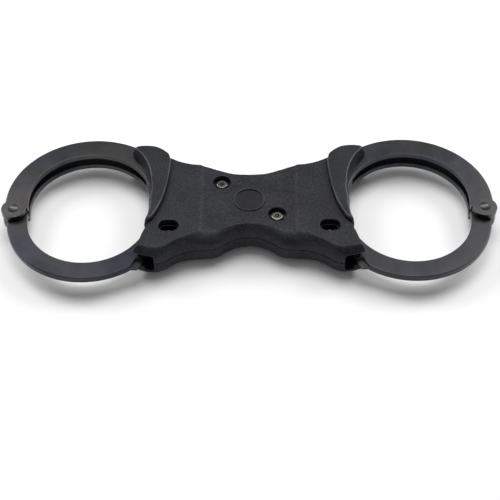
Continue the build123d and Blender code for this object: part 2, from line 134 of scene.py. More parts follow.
# %% [markdown]
# ## Floor and light
# The pair of cuffs lies on a plain white sweep under large soft boxes. They stand behind and
# above, so the tops shine softly and the fronts stay dark. The dim white sky fills in the
# shadows, and the floor lights the inner walls from below.

# %% Floor and light
FLOOR_HALF = 3.0
SKY_STRENGTH = 0.28

floor_mesh = bpy.data.meshes.new("floor")
corners = [(FLOOR_HALF * x, FLOOR_HALF * y, 0.0) for x, y in ((-1, -1), (1, -1), (1, 1), (-1, 1))]
floor_mesh.from_pydata(corners, [], [(0, 1, 2, 3)])
floor = bpy.data.objects.new("floor", floor_mesh)
bpy.context.scene.collection.objects.link(floor)
material, tree, output, coords = new_material("white_paper_sweep")
paper = {"Base Color": linear("#f7f7f7"), "Roughness": 0.9, "Specular IOR Level": 0.1}
shader = node(tree, "BsdfPrincipled", paper)
floor_mesh.materials.append(close_material(material, tree, output, shader))

world = bpy.data.worlds.new("studio")
world.use_nodes = True
sky = world.node_tree.nodes["Background"]
sky.inputs["Color"].default_value = linear("#ffffff")
sky.inputs["Strength"].default_value = SKY_STRENGTH
bpy.context.scene.world = world


def soft_box(name, at, target, size, power):
    """A square area lamp at a point, aimed at another, both in metres."""
    data = bpy.data.lights.new(name, "AREA")
    data.size = size
    data.energy = power
    lamp = bpy.data.objects.new(name, data)
    lamp.location = at
    aim = np.array(target) - np.array(at)
    flat = math.hypot(aim[0], aim[1])
    lamp.rotation_euler = (math.atan2(flat, -aim[2]), 0.0, math.atan2(-aim[0], aim[1]))
    bpy.context.scene.collection.objects.link(lamp)
    return lamp


soft_box("box_back_left", (-0.85, 0.75, 0.95), (-0.05, 0, 0), 0.7, 8.5)
soft_box("box_back_right", (0.85, 0.75, 0.95), (0.05, 0, 0), 0.7, 9.0)
soft_box("box_over", (0.0, 0.3, 1.1), (0, 0, 0), 0.6, 6.5)
print("lamps", [lamp.name for lamp in bpy.data.lights])

# %% [markdown]
# ## Moulded nylon
# The grip is black glass-filled nylon, injection moulded in a spark-eroded tool. The tool
# leaves a fine grain that breaks the shine into specks, and handling polishes the edges.
# The grain is a noise and a cell pattern in the bump. Its specks of shine are also painted
# into the colour as paler dots, a painted glint. The real grain is about 0.15 mm;
# here it is drawn at 0.6 mm, because anything finer would not show. The shells carry an
# attribute that says how convex the skin is. Where it is high, the edges are painted
# paler, partly as polish and partly as a painted highlight. The badge finds its rim by a Bevel
# node, and gets a painted rim light there.

# %% Nylon
GRAIN_MM = 0.6
CELL_MM = 0.9
CLOUD_MM = 14
EDGE_MM = 0.35
HOOD_FROM = 8.0  # height above the joint between the shells, in mm, where the hoods start


def wear_and_highlight_of(mesh, gain):
    """How convex the skin is: the mean of (n_i - n_j)·(p_i - p_j) / |p_i - p_j|² over each
    point's neighbours, spread twice. It fades at the joint and is strongest on the hoods.
    Where it is high, the nylon is painted paler: worn polish, and a painted highlight such
    as the bright line along the hoods' top edges."""
    count = len(mesh.vertices)
    points = np.empty(count * 3)
    normals = np.empty(count * 3)
    ends = np.empty(len(mesh.edges) * 2, np.int64)
    mesh.vertices.foreach_get("co", points)
    mesh.vertex_normals.foreach_get("vector", normals)
    mesh.edges.foreach_get("vertices", ends)
    points, normals, ends = points.reshape(-1, 3), normals.reshape(-1, 3), ends.reshape(-1, 2)
    step = points[ends[:, 0]] - points[ends[:, 1]]
    turn = normals[ends[:, 0]] - normals[ends[:, 1]]
    reach = np.maximum((step**2).sum(axis=1), (0.15 * MM) ** 2)
    bend = (turn * step).sum(axis=1) / reach * MM
    both = np.concatenate([ends[:, 0], ends[:, 1]])
    degree = np.maximum(np.bincount(both, minlength=count), 1)
    value = np.bincount(both, np.concatenate([bend, bend]), count) / degree
    for _ in range(2):
        swapped = np.concatenate([value[ends[:, 1]], value[ends[:, 0]]])
        value = 0.5 * value + 0.5 * np.bincount(both, swapped, count) / degree
    above_joint = np.abs(points[:, 2] / MM - HALF_HEIGHT)
    off_joint = np.clip((above_joint - 0.6) / 0.8, 0, 1)
    on_hood = np.clip((above_joint - HOOD_FROM) / 0.8, 0, 1)
    # Worn polish and painted highlight: more on convex edges, most on the hoods, where it paints their bright
    # top-edge line.
    wear_and_highlight = np.clip(value * gain, 0, 1) * off_joint * (0.35 + 0.65 * on_hood)
    layer = mesh.attributes.new("wear_and_highlight", "FLOAT", "POINT")
    layer.data.foreach_set("value", wear_and_highlight.astype(np.float32))
    print(mesh.name, "mean wear", round(float(wear_and_highlight.mean()), 3), "worn points", int((wear_and_highlight > 0.5).sum()))


def bent_at_edges(tree, radius_mm):
    """A normal rounded over a radius, and how closely it agrees with the true one: their dot product."""
    normal = node(tree, "NewGeometry").outputs["Normal"]
    soft = node(tree, "Bevel", {"Radius": radius_mm * MM}, samples=4).outputs["Normal"]
    same = node(tree, "VectorMath", {0: normal, 1: soft}, operation="DOT_PRODUCT")
    return soft, same.outputs["Value"]


def moulded_nylon(name, base, light, edge, rough, grain, painted_rim_light):
    """Black nylon: dark resin with paler specks that are painted glints, a spark grain, and paler edges that
    are partly polish and partly a painted highlight.
    """
    material, tree, output, coords = new_material(name)
    noise = {"Vector": coords, "Scale": per_mm(GRAIN_MM), "Detail": 2.0, "Roughness": 0.6}
    fine = node(tree, "TexNoise", noise).outputs["Fac"]
    patches = {"Vector": coords, "Scale": per_mm(CLOUD_MM), "Detail": 3.0}
    cloud = node(tree, "TexNoise", patches).outputs["Fac"]
    cells = node(tree, "TexVoronoi", {"Vector": coords, "Scale": per_mm(CELL_MM)}, feature="F1")
    # Paler specks: painted glints of the spark grain, drawn in the pale colour, which the random tone patches
    # also reach.
    painted_glint_speck = node(tree, "MapRange", {0: fine, 1: 0.5, 2: 0.66, 3: 0.0, 4: 1.0}).outputs[0]
    shade = node(tree, "MapRange", {0: cloud, 1: 0.35, 2: 0.65, 3: 0.0, 4: 0.35}).outputs[0]
    mix = node(tree, "Math", {0: painted_glint_speck, 1: shade}, operation="ADD", use_clamp=True).outputs[0]
    shades = {"Factor": mix, 6: linear(base), 7: linear(light)}
    colour = node(tree, "Mix", shades, data_type="RGBA").outputs[2]
    # Paler edges: worn polish and a painted highlight from the convexity attribute, plus a painted rim light
    # found by the Bevel node and scaled by the rim argument.
    wear_and_highlight = node(tree, "Attribute", attribute_name="wear_and_highlight").outputs["Fac"]
    same = bent_at_edges(tree, EDGE_MM)[1]
    rim = node(tree, "MapRange", {0: same, 1: 0.99, 2: 0.8, 3: 0.0, 4: painted_rim_light}).outputs[0]
    wear_and_highlight = node(tree, "Math", {0: wear_and_highlight, 1: rim}, operation="ADD").outputs[0]
    patchy = node(tree, "Math", {0: wear_and_highlight, 1: cloud}, operation="MULTIPLY").outputs[0]
    worn_and_highlighted = node(tree, "MapRange", {0: patchy, 1: 0.12, 2: 0.5, 3: 0.0, 4: 1.0}).outputs[0]
    shades = {"Factor": worn_and_highlighted, 6: colour, 7: linear(edge)}
    colour = node(tree, "Mix", shades, data_type="RGBA").outputs[2]
    matt = node(tree, "MapRange", {0: fine, 1: 0.3, 2: 0.7, 3: rough + 0.1, 4: rough - 0.08}).outputs[0]
    smooth = node(tree, "Math", {0: matt, 1: worn_and_highlighted}, operation="SUBTRACT").outputs[0]
    matt = node(tree, "Math", {0: smooth, 1: 0.34}, operation="MAXIMUM").outputs[0]
    height = node(tree, "Math", {0: fine, 1: cells.outputs["Distance"]}, operation="ADD").outputs[0]
    relief = {"Height": height, "Strength": grain, "Distance": 0.05 * MM}
    bump = node(tree, "Bump", relief).outputs["Normal"]
    skin = {"Base Color": colour, "Roughness": matt, "Normal": bump, "IOR": 1.53}
    shader = node(tree, "BsdfPrincipled", {**skin, "Specular IOR Level": 0.2})
    return close_material(material, tree, output, shader)


# The edge colours are worn polish and painted highlight. The badge's rim argument of 1 adds a painted rim
# light round it.
nylon = moulded_nylon("black_glass_filled_nylon", "#0c0d10", "#2e2f35", "#505157", 0.5, 0.62, 0.0)
smooth_nylon = moulded_nylon("satin_moulded_nylon", "#0c0d10", "#1f2025", "#6a6b72", 0.44, 0.2, 1.0)

# %% [markdown]
# ## Blued and bare steel
# The cheek plates and the arms are stamped carbon steel, tumbled and then hot blued. The
# oxide is nearly black and thin, so the steel still shines through it, bluish in some
# places and brownish in others, and rubbed paler at the edges. The paler edge colour is
# also a painted highlight along the rounded edges. Blender has no oxide, so
# a dark metal takes its place, with a soft tint that wanders and fine random scratches.

# %% Steels
SCRATCH_MM = 0.48


def steel(name, dark, light, tint, rough, edge, edge_mm):
    """Metal with a wandering tint, long scratches in its roughness and bump, and paler rounded edges that are
    partly rubbed and partly a painted highlight.
    """
    material, tree, output, coords = new_material(name)
    patches = {"Vector": coords, "Scale": per_mm(16), "Detail": 4.0, "Roughness": 0.6}
    cloud = node(tree, "TexNoise", patches).outputs["Fac"]
    wander = {"Vector": coords, "Scale": per_mm(38), "Detail": 1.0}
    blotch = node(tree, "TexNoise", wander).outputs["Fac"]
    slant = {"Vector": coords, "Rotation": (0.0, 0.0, 0.6), "Scale": (1.0, 0.06, 1.0)}
    stretch = node(tree, "Mapping", slant).outputs[0]
    lines = {"Vector": stretch, "Scale": per_mm(SCRATCH_MM), "Detail": 3.0}
    scratch = node(tree, "TexNoise", lines).outputs["Fac"]
    fade = node(tree, "MapRange", {0: cloud, 1: 0.3, 2: 0.7, 3: 0.0, 4: 1.0}).outputs[0]
    shades = {"Factor": fade, 6: linear(dark), 7: linear(light)}
    colour = node(tree, "Mix", shades, data_type="RGBA").outputs[2]
    warm = node(tree, "MapRange", {0: blotch, 1: 0.42, 2: 0.62, 3: 0.0, 4: 0.6}).outputs[0]
    shades = {"Factor": warm, 6: colour, 7: linear(tint)}
    colour = node(tree, "Mix", shades, data_type="RGBA").outputs[2]
    soft, same = bent_at_edges(tree, edge_mm)
    # Paler edges: rubbed steel and a painted highlight along the rounded edges.
    rubbed_and_highlighted_edge = node(tree, "MapRange", {0: same, 1: 0.995, 2: 0.85, 3: 0.0, 4: 0.7}).outputs[0]
    shades = {"Factor": rubbed_and_highlighted_edge, 6: colour, 7: linear(edge)}
    colour = node(tree, "Mix", shades, data_type="RGBA").outputs[2]
    satin = node(tree, "MapRange", {0: scratch, 1: 0.35, 2: 0.7, 3: rough - 0.02, 4: rough + 0.05}).outputs[0]
    relief = {"Height": scratch, "Strength": 0.04, "Distance": 0.02 * MM, "Normal": soft}
    bump = node(tree, "Bump", relief).outputs["Normal"]
    metal = {"Base Color": colour, "Metallic": 1.0, "Roughness": satin, "Normal": bump}
    return close_material(material, tree, output, node(tree, "BsdfPrincipled", metal))


# Each steel's edge colour is rubbed steel and a painted highlight.
steels = {
    "blued_plate": steel("hot_blued_plate_steel", "#303238", "#4b4d53", "#54514d", 0.32, "#8c8d90", 0.3),
    "blued_arm": steel("hot_blued_arm_steel", "#2b2d33", "#42444b", "#454444", 0.32, "#86878a", 0.3),
    "gunmetal_rivet": steel("gunmetal_rivet_steel", "#44464a", "#5b5d61", "#5d5954", 0.4, "#a0a0a0", 0.2),
    "gunmetal_screw": steel("plated_screw_steel", "#5a5957", "#6f6d6a", "#6f6a63", 0.3, "#b0aca6", 0.15),
    "bare_steel": steel("ground_oiled_steel", "#6f7072", "#8b8c8e", "#807a72", 0.34, "#b5b5b4", 0.15),
    "spring_steel": steel("tempered_spring_steel", "#51545c", "#666a73", "#6b6358", 0.3, "#9ba0a8", 0.1),
    "insert_brass": steel("turned_insert_brass", "#a98a4c", "#c2a562", "#8f7038", 0.28, "#dcc890", 0.15),
}

# %% [markdown]
# ## Finishes for the metal nodes
# Every carried-over metal node names its slot in the record, so one loop gives each its
# steel. The badge disc is a satin part of the same nylon as the shells.

# %% Assign the finishes
slot_of = {row["node"]: row["material_slot"] for row in frame["record"]["subparts"]}
finishes = {**steels, "black_nylon": nylon, "badge_plastic": smooth_nylon}
for name, made in frame["nodes"].items():
    made.data.materials.clear()
    made.data.materials.append(finishes[slot_of[name]])
print("finished nodes", len(frame["nodes"]))

# %% [markdown]
# ## Lines in plan
# The grip is drawn first as a few lines in plan, in millimetres, with X along the grip and
# Y across it from the line through both pivots. Only the left half is drawn. A smooth
# line through a handful of points is enough, since a moulded part has no sharp bends.


# %% Smooth lines
def even_steps(points, count):
    """A polyline resampled to `count` points at even steps of its length."""
    walked = np.concatenate([[0.0], np.cumsum(np.linalg.norm(np.diff(points, axis=0), axis=1))])
    steps = np.linspace(0.0, walked[-1], count)
    return np.stack([np.interp(steps, walked, points[:, axis]) for axis in range(points.shape[1])], axis=1)


def smooth_line(points, count=240):
    """A Hermite curve through points. A span is h1·P + h2·g·S + h3·Q + h4·g·T, for the points
    P and Q and the slopes S and T at its ends, with g the gap between them."""
    points = np.array(points, float)
    gaps = np.linalg.norm(np.diff(points, axis=0), axis=1)
    knots = np.concatenate([[0.0], np.cumsum(gaps)])
    slopes = np.gradient(points, knots, axis=0)
    along = np.linspace(0.0, knots[-1], 3000)
    span = np.clip(np.searchsorted(knots, along, side="right") - 1, 0, len(gaps) - 1)
    gap = gaps[span][:, None]
    t = (along - knots[span])[:, None] / gap
    start = (2 * t**3 - 3 * t**2 + 1) * points[span] + (t**3 - 2 * t**2 + t) * gap * slopes[span]
    stop = (3 * t**2 - 2 * t**3) * points[span + 1] + (t**3 - t**2) * gap * slopes[span + 1]
    return even_steps(start + stop, count)


def look_up(line, fraction):
    """Points of a line at fractions of its length, for an array of fractions of any shape."""
    walked = np.concatenate([[0.0], np.cumsum(np.linalg.norm(np.diff(line, axis=0), axis=1))])
    steps = np.asarray(fraction) * walked[-1]
    return np.stack([np.interp(steps, walked, line[:, axis]) for axis in range(2)], axis=-1)


def length_of(line):
    """The length of a polyline."""
    return float(np.linalg.norm(np.diff(line, axis=0), axis=1).sum())


def distance_to(points, line):
    """The shortest distance from each point of an array to a polyline."""
    start, stop = line[:-1], line[1:]
    step = stop - start
    flat = points.reshape(-1, 1, 2)
    t = ((flat - start) * step).sum(-1) / (step**2).sum(-1)
    near = start + np.clip(t, 0, 1)[..., None] * step
    return np.linalg.norm(flat - near, axis=-1).min(axis=1).reshape(points.shape[:-1])


ARM_RING = (-76.0, -2.5, 28.8)  # middle and radius of the wrist opening along the arm
CHEEK_RING = (-76.0, 6.6, 29.0)  # the same along the cheek plates

front_line = smooth_line(
    [(0, -15.2), (-5, -16.0), (-10, -18.5), (-15.5, -22.3), (-20, -23.1), (-26, -23.4), (-34, -26.4)]
    + [(-40, -30.4), (-43.4, -31.3), (-46.8, -30.8), (-52.8, -28.5)]
)
lobe_side = smooth_line([(-52.8, -28.5), (-51.4, -25.0), (-49.6, -18.5), (-47.4, -12.6)], 80)
crease_line = smooth_line(
    [(-47.4, -12.6), (-45.3, -11.4), (-43.2, -7.7), (-40.8, -1.2), (-39.3, 5.4)]
    + [(-38.3, 12.1), (-37.7, 19), (-37.6, 25.3), (-38.6, 30.7)]
)
body_rear = smooth_line(
    [(0, 19.6), (-8, 20.3), (-15, 22.8), (-22, 25.5), (-27, 26.1), (-33, 27.8), (-38.6, 30.7)]
)
hood_rear = smooth_line(
    [(-38.6, 30.7), (-41.2, 33.4), (-44.6, 35.7), (-50, 36.7), (-54, 36.3), (-56.4, 35.4)]
)
ring_y = np.linspace(-11.8, 11.0, 160)
ring_x = np.maximum(
    *[x + np.sqrt(np.clip(r**2 - (ring_y - y) ** 2, 0, None)) for x, y, r in (ARM_RING, CHEEK_RING)]
)
hood_foot = smooth_line(
    [(ring_x[-1], ring_y[-1]), (-48.3, 17.1), (-50, 22.5), (-53.3, 29)]
    + [(-56.1, 32.6), (-57, 34.2), (-56.4, 35.4)],
    160,
)
wrist_line = np.concatenate([np.stack([ring_x, ring_y], axis=1), hood_foot[1:]])
tip_line = np.array([crease_line[0], wrist_line[0]])
print("front", round(length_of(front_line), 1), "mm, wrist side", round(length_of(wrist_line), 1), "mm")

# %% [markdown]
# ## A grid between four lines
# Each half of a shell is two four-sided patches that share the foot of the hood: the body
# of the grip, and the hood beside the wrist. A grid between four lines is found by sliding
# each pair of sides towards the other, and taking away what is then counted twice. Its
# rows crowd together at the rounded edges, where the surface turns fastest.


# %% Patches
def four_sided(front, rear, near, far, u, v, pull):
    """(1-v)·front(u) + v·rear(u), plus (1-pull) and pull times how far near(v) and far(v) bow
    out of a straight line between their ends."""
    v_ = v[..., None]
    pull_ = pull[..., None]
    across = (1 - v_) * look_up(front, u) + v_ * look_up(rear, u)
    bow_near = look_up(near, v) - (1 - v_) * near[0] - v_ * near[-1]
    bow_far = look_up(far, v) - (1 - v_) * far[0] - v_ * far[-1]
    return across + (1 - pull_) * bow_near + pull_ * bow_far


def ease(t):
    """3t² - 2t³ between 0 and 1: a step with soft ends."""
    t = np.clip(t, 0, 1)
    return t * t * (3 - 2 * t)


def rounded(t, share=1.0):
    """sqrt(1 - (1 - s·t)²) over its value at t = 1: the rise of a quarter circle, cut off at a
    share s of its width and scaled back to 1."""
    t = np.clip(t, 0, 1) * share
    return np.sqrt(1 - (1 - t) ** 2) / math.sqrt(1 - (1 - share) ** 2)


SHOULDER_ROWS = 16
MIDDLE_ROWS = 112
REAR_ROWS = 8
BODY_COLUMNS = 146
HOOD_COLUMNS = 44
REAR_ROUND = 1.2
STEP_FROM = 21.2  # distance from the middle where the top starts to step up
STEP_WIDTH = 2.6
TIP_ROUND = 2.2
HOOD_ROUND = 1.1
BEVEL_STEPS = 18
BEVEL_WIDTH = 3.4
TIP_ROW = SHOULDER_ROWS + 26
ROWS = SHOULDER_ROWS + MIDDLE_ROWS + REAR_ROWS


def bell(x, middle, spread):
    """exp(-((|x| - middle) / spread)²): a hump on each side of the grip."""
    return np.exp(-(((np.abs(x) - middle) / spread) ** 2))


def row_distances(widths, total, tip_at, pull):
    """Distance of every row from the front: w·(1 - cos t) on the shoulder, even steps between,
    and the same arc again at the rear. With pull, one row stops at the hood's tip."""
    turn = np.linspace(0, math.pi / 2, SHOULDER_ROWS + 1)
    turn_rear = np.linspace(0, math.pi / 2, REAR_ROWS + 1)[::-1]
    widths = widths[:, None]
    total = total[:, None]
    shoulder = widths * (1 - np.cos(turn))
    rear = total - REAR_ROUND * (1 - np.cos(turn_rear))
    plain = widths + (total - REAR_ROUND - widths) * np.linspace(0, 1, MIDDLE_ROWS + 1)
    before = TIP_ROW - SHOULDER_ROWS
    to_tip = widths + (tip_at - widths) * np.linspace(0, 1, before + 1)
    from_tip = tip_at + (total - REAR_ROUND - tip_at) * np.linspace(0, 1, MIDDLE_ROWS - before + 1)
    kinked = np.concatenate([to_tip, from_tip[:, 1:]], axis=1)
    middle = (1 - pull[:, None]) * plain + pull[:, None] * kinked
    return np.concatenate([shoulder, middle[:, 1:-1], rear], axis=1)


def body_patch(form):
    """The body of one half shell, as columns from the middle to the hood and rows from front to
    rear: the plan, the height, and how far along the side each row ends."""
    side_line = np.concatenate([lobe_side, crease_line[1:]])
    middle_line = np.array([front_line[0], body_rear[0]])
    u = np.linspace(0, 1, BODY_COLUMNS + 1)
    pull = u**3
    span = np.linalg.norm(look_up(body_rear, u) - look_up(front_line, u), axis=-1)
    total = (1 - pull) * span + pull * length_of(side_line)
    front_x = look_up(front_line, u)[:, 0]
    widths = form["shoulder"](front_x)
    wall = form["wall"](front_x)[:, None]
    far = row_distances(widths, total, length_of(lobe_side), pull)
    v = far / total[:, None]
    grid_u = np.repeat(u[:, None], ROWS + 1, axis=1)
    plan = four_sided(front_line, body_rear, middle_line, side_line, grid_u, v, grid_u**3)
    stepped = ease((np.abs(plan[..., 0]) - STEP_FROM) / STEP_WIDTH)
    top = form["middle"] + (form["outer"] - form["middle"]) * stepped
    rise = rounded(far / widths[:, None], form["share"])
    height = wall + (top - wall) * rise
    drop = REAR_ROUND * (1 - rounded((total[:, None] - far) / REAR_ROUND))
    from_side = rounded(distance_to(plan, lobe_side) / form["side_round"], 0.8)
    side_rise = form["side_wall"] + (top - form["side_wall"]) * from_side
    height = np.minimum(height - drop, side_rise)
    return plan, height, far[-1] / total[-1]


def hood_patch(form, foot_height, side_fraction):
    """The hood of one half shell, as columns from its foot to the wrist and rows from its tip to
    the rear. It climbs a steep wall on the grip side, runs level, and slopes down to the rim."""
    lobe = length_of(lobe_side)
    whole = lobe + length_of(crease_line)
    v_row = np.clip((side_fraction[TIP_ROW:] * whole - lobe) / (whole - lobe), 0, 1)
    wall = 1 - np.cos(np.linspace(0, math.pi / 2, 11))
    bevel = np.arange(BEVEL_STEPS, 0, -1) / BEVEL_STEPS
    foot = look_up(crease_line, v_row)
    rim = look_up(wrist_line, v_row)
    across = np.linalg.norm(foot - rim, axis=-1)
    wall_share = np.minimum(form["hood_wall"] / across, 0.4)
    bevel_share = np.minimum(BEVEL_WIDTH / across, 0.5)
    columns = [wall_share * t for t in wall]
    level = np.linspace(0, 1, HOOD_COLUMNS - 27)[1:-1]
    columns += [wall_share + (1 - bevel_share - wall_share) * t for t in level]
    columns += [1 - bevel_share * t for t in bevel] + [np.ones_like(v_row)]
    u = np.array(columns)
    v = np.repeat(v_row[None], len(u), axis=0)
    plan = four_sided(tip_line, hood_rear, crease_line, wrist_line, u, v, u)
    from_tip = v * (whole - lobe)
    from_rear = distance_to(plan, hood_rear)
    top = form["side_wall"] + (form["hood"] - form["side_wall"]) * rounded(from_tip / TIP_ROUND)
    top -= HOOD_ROUND * (1 - rounded(from_rear / HOOD_ROUND))
    climb = rounded(u / wall_share)
    height = foot_height[None] + (top - foot_height[None]) * climb
    slope_width = 1.3 + 0.7 * ease((plan[..., 1] - 10) / 18)
    from_wrist = distance_to(plan, wrist_line)
    slope = form["rim"] + (form["hood"] - form["rim"]) * rounded(from_wrist / slope_width, 0.75)
    return plan, np.minimum(height, slope)


# %% [markdown]
# ## From patches to a closed shell
# The two patches make the skin. Its border is carried down to the joint between the
# shells, where a small groove marks the parting line. A flat face closes it, and the other half
# is its mirror image. The rooms inside are then cut out with solids of plain outline.


# %% Closing a shell
def grid_faces(columns, rows, start=0):
    """Four-cornered faces of a grid whose points are stored column by column."""
    first = (np.arange(columns - 1)[:, None] * rows + np.arange(rows - 1)[None]).ravel() + start
    return np.stack([first, first + 1, first + rows + 1, first + rows], axis=1)


def merged_mesh(name, points, faces):
    """A mesh in metres in the frame's axes, its doubled points joined and its faces turned outwards."""
    mesh = bpy.data.meshes.new(name)
    shifted = (np.asarray(points, float) + (0.0, ROW_SHIFT, HALF_HEIGHT)) * MM
    mesh.from_pydata(shifted.tolist(), [], faces)
    made = bmesh.new()
    made.from_mesh(mesh)
    bmesh.ops.remove_doubles(made, verts=made.verts, dist=2e-6)
    bmesh.ops.dissolve_degenerate(made, edges=made.edges, dist=1e-7)
    bmesh.ops.recalc_face_normals(made, faces=made.faces)
    made.to_mesh(mesh)
    made.free()
    mesh.update()
    return mesh


GROOVE = ((0.65, 0.0), (0.34, 0.03), (0.22, 0.24), (0.0, 0.3))  # height and depth of each row
SHARP_TURN = 18  # degrees


def outward_of(line):
    """Directions out of a line in plan. Their length falls to nothing within half a millimetre
    of each sharp corner, so that an inset there can't cross itself."""
    step = np.diff(line, axis=0)
    size = np.linalg.norm(step, axis=1)
    along = step / np.maximum(size, 1e-9)[:, None]
    cosine = np.clip((along[1:] * along[:-1]).sum(axis=1), -1, 1)
    turn = np.concatenate([[0], np.degrees(np.arccos(cosine)), [0]])
    walked = np.concatenate([[0], np.cumsum(size)])
    sharp = walked[turn > SHARP_TURN]
    to_corner = np.abs(walked[:, None] - sharp[None]).min(axis=1)
    tangent = np.gradient(line, axis=0)
    tangent /= np.maximum(np.linalg.norm(tangent, axis=1), 1e-9)[:, None]
    out = np.stack([-tangent[:, 1], tangent[:, 0]], axis=1)
    out[[0, -1], 0] = 0
    return out * np.clip(to_corner / 0.5, 0, 1)[:, None]


def half_shell(form, side):
    """Points and faces of the left half: two patches, a wall down to the joint, and a flat face."""
    plan, height, side_fraction = body_patch(form)
    hood_plan, hood_height = hood_patch(form, height[-1, TIP_ROW:], side_fraction)
    body = np.concatenate([plan, height[..., None]], axis=-1)
    hood = np.concatenate([hood_plan, hood_height[..., None]], axis=-1)
    front_edge = [body[:, 0], body[-1, 1 : TIP_ROW + 1], hood[1:, 0]]
    rear_edge = [hood[-1, 1:], hood[-2::-1, -1], body[-2::-1, -1]]
    border = np.concatenate(front_edge + rear_edge)
    outward = outward_of(border[:, :2])
    rows = [border]
    for share in (0.75, 0.5, 0.25):
        level_row = border.copy()
        level_row[:, 2] = GROOVE[0][0] + (border[:, 2] - GROOVE[0][0]) * share
        rows.append(level_row)
    for height_at, inset in GROOVE:
        level_row = border.copy()
        level_row[:, :2] -= outward * inset
        level_row[:, 2] = height_at
        rows.append(level_row)
    wall = np.stack(rows)
    parts = [body, hood, wall]
    points = np.concatenate([part.reshape(-1, 3) for part in parts])
    faces = []
    start = 0
    for part in parts:
        faces += grid_faces(part.shape[0], part.shape[1], start).tolist()
        start += part.shape[0] * part.shape[1]
    faces.append(list(range(start - wall.shape[1], start)))
    points[:, 2] *= side
    return points, faces


def whole_shell(name, form, side):
    """Both halves as one closed mesh."""
    points, faces = half_shell(form, side)
    count = len(points)
    other = points * (-1, 1, 1)
    faces = faces + [[index + count for index in face] for face in faces]
    mesh = merged_mesh(name, np.concatenate([points, other]), faces)
    made = bmesh.new()
    made.from_mesh(mesh)
    open_edges = sum(1 for edge in made.edges if len(edge.link_faces) != 2)
    volume = round(made.calc_volume() * 1e6, 2)
    print(name, "faces", len(made.faces), "open edges", open_edges, "volume cm3", volume)
    made.free()
    return mesh


# %% [markdown]
# ## Rooms and openings
# A real shell is moulded hollow: the lock cases lie in pockets, the arms swing through a
# slot a little thicker than they are, and the mouths are open. Each room is one prism on a
# plain outline, and only the window beside a mouth draws in at its outer corners. The
# openings on top flare at the rim like a moulded edge does, and that rim catches the light.


# %% Cutting solids
def circle_line(x, y, r, count=96):
    """Points of a circle, anticlockwise."""
    angle = np.linspace(0, 2 * math.pi, count, endpoint=False)
    return np.stack([x + r * np.cos(angle), y + r * np.sin(angle)], axis=1)


def slot_line(x, y, length, width, count=48):
    """Points of a slot: two half circles joined by straight sides, anticlockwise."""
    angle = np.linspace(-math.pi / 2, math.pi / 2, count)
    half = (length - width) / 2
    r = width / 2
    right = np.stack([x + half + r * np.cos(angle), y + r * np.sin(angle)], axis=1)
    left = np.stack([x - half - r * np.cos(angle), y - r * np.sin(angle)], axis=1)
    return np.concatenate([right, left])


def prism(name, outline, rows):
    """A closed solid: the outline moved out by an amount at each height, one pair per row."""
    outline = np.array(outline, float)
    tangent = np.roll(outline, -1, axis=0) - np.roll(outline, 1, axis=0)
    tangent /= np.linalg.norm(tangent, axis=1)[:, None]
    out = np.stack([tangent[:, 1], -tangent[:, 0]], axis=1)
    count = len(outline)
    levels = [np.full((count, 1), height) for height, _ in rows]
    moved = [outline + out * amount for _, amount in rows]
    rings = np.stack([np.hstack(pair) for pair in zip(moved, levels)])
    points = rings.reshape(-1, 3)
    ring = np.arange(count)
    faces = []
    for level in range(len(rows) - 1):
        first = level * count + ring
        second = level * count + np.roll(ring, -1)
        faces += np.stack([first, second, second + count, first + count], axis=1).tolist()
    faces.append(ring[::-1].tolist())
    faces.append((ring + (len(rows) - 1) * count).tolist())
    return bpy.data.objects.new(name, merged_mesh(name, points, faces))


def flare(bottom, rim, lip=0.35):
    """Rows of a hole with an upright wall and a quarter-round rim."""
    turn = np.linspace(0, math.pi / 2, 5)
    rows = [(bottom, 0.0)] + [(rim - lip * (1 - math.sin(t)), lip * (1 - math.cos(t))) for t in turn]
    return rows + [(rim + 6.0, lip + 0.02)]


def cut(mesh_object, cutters):
    """Take each cutting solid away with a Boolean, and keep the result as the object's own mesh."""
    scene = bpy.context.scene.collection
    scene.objects.link(mesh_object)
    for cutter in cutters:
        scene.objects.link(cutter)
        step = mesh_object.modifiers.new("cut", "BOOLEAN")
        step.operation = "DIFFERENCE"
        step.solver = "MANIFOLD"
        step.object = cutter
        graph = bpy.context.evaluated_depsgraph_get()
        result = bpy.data.meshes.new_from_object(mesh_object.evaluated_get(graph))
        mesh_object.modifiers.clear()
        mesh_object.data = result
        bpy.data.objects.remove(cutter)
    print(mesh_object.name, "after", len(cutters), "cuts:", len(mesh_object.data.polygons), "faces")
    return mesh_object


PIVOT_X = -111.25
SWEPT_R = 69.9  # how far from its pivot the arm's tip swings, with clearance
CASE_FACE = 4.6  # half the thickness of the pockets for the lock cases
SLOT_HALF = 2.0  # half the thickness of the slots for the arms and the core plate
SILL_FACE = 2.4  # the lower shell keeps a sill under the mouth
OVERLAP = 1.0  # how far each cutting solid reaches past the joint
CHEEK_POCKET = (-75.5, 6.0, 40.2)  # middle and radius of the round that holds the cheek plates
CASE_LINE = [
    (-49.2, -24.1), (-48.0, -11.2), (-58.0, -9.0), (-58.0, 22.0), (-47.0, 30.7), (-41.8, 28.0),
    (-38.0, 26.2), (-33.0, 24.6), (-27.0, 22.6), (-21.0, 20.8), (-15.8, 17.4), (-15.8, -14.7),
    (-21.0, -17.6), (-27.0, -19.4), (-33.0, -21.0), (-37.0, -23.4), (-41.0, -24.1),
]
CORE_LINE = [
    (-24.4, -16.1), (-15.0, -15.1), (-9.0, -12.6), (9.0, -12.6), (15.0, -15.1), (24.4, -16.1),
    (24.4, 18.1), (15.0, 18.1), (8.0, 16.3), (-8.0, 16.3), (-15.0, 18.1), (-24.4, 18.1),
]
SCREWS = [(-13.0, 14.0), (13.0, -6.8)]
KEY_SLOTS = [(-37.3, -14.3), (37.3, -14.3)]
MOUTH_LINE = [(-60.0, -12.0), (-66.0, -34.0), (-48.0, -34.0), (-45.6, -20.0)]
